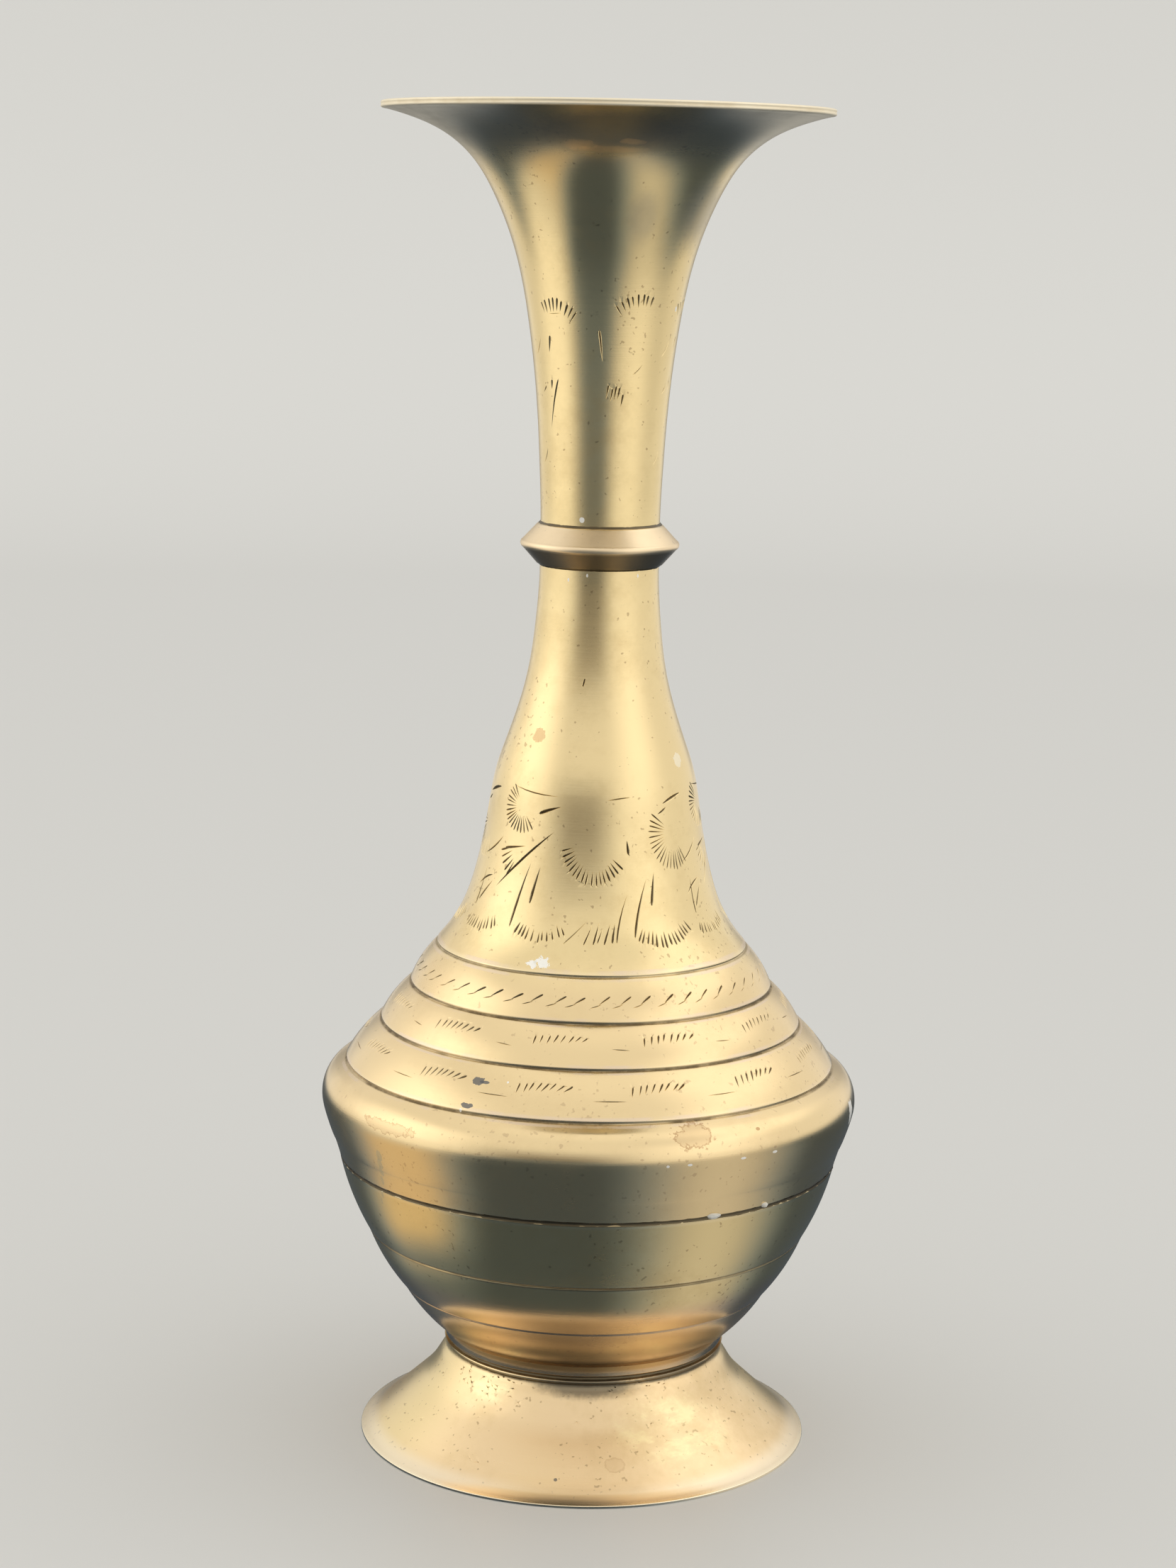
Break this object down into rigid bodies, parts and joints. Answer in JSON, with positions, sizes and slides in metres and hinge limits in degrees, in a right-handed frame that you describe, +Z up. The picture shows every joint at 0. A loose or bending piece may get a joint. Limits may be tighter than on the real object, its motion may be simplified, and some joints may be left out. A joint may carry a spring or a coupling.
{
  "type": "bud vase",
  "caption": "Slim brass bud vase with a flared trumpet mouth, a turned neck collar, a stepped engraved shoulder, a banded bowl and a conical foot, brazed together.",
  "frame": {"origin": "centre of the plane that the foot's rim stands on", "axes": "+Z up along the axis that the vase is turned about; X and Y are free, because the turned shape is round"},
  "size_m": [0.0824, 0.0824, 0.2044],
  "materials": {
    "brass": "satin, finely turned, slightly tarnished, with bright worn edges",
    "braze": "dull and darkened"
  },
  "bodies": {
    "root": {"trumpet_neck": "brass", "neck_collar": "brass", "shoulder_shell": "brass", "bowl_shell": "brass", "foot": "brass", "collar_braze_upper": "braze", "collar_braze_lower": "braze", "belly_seam_braze": "braze", "foot_braze": "braze"}
  },
  "joints": []
}
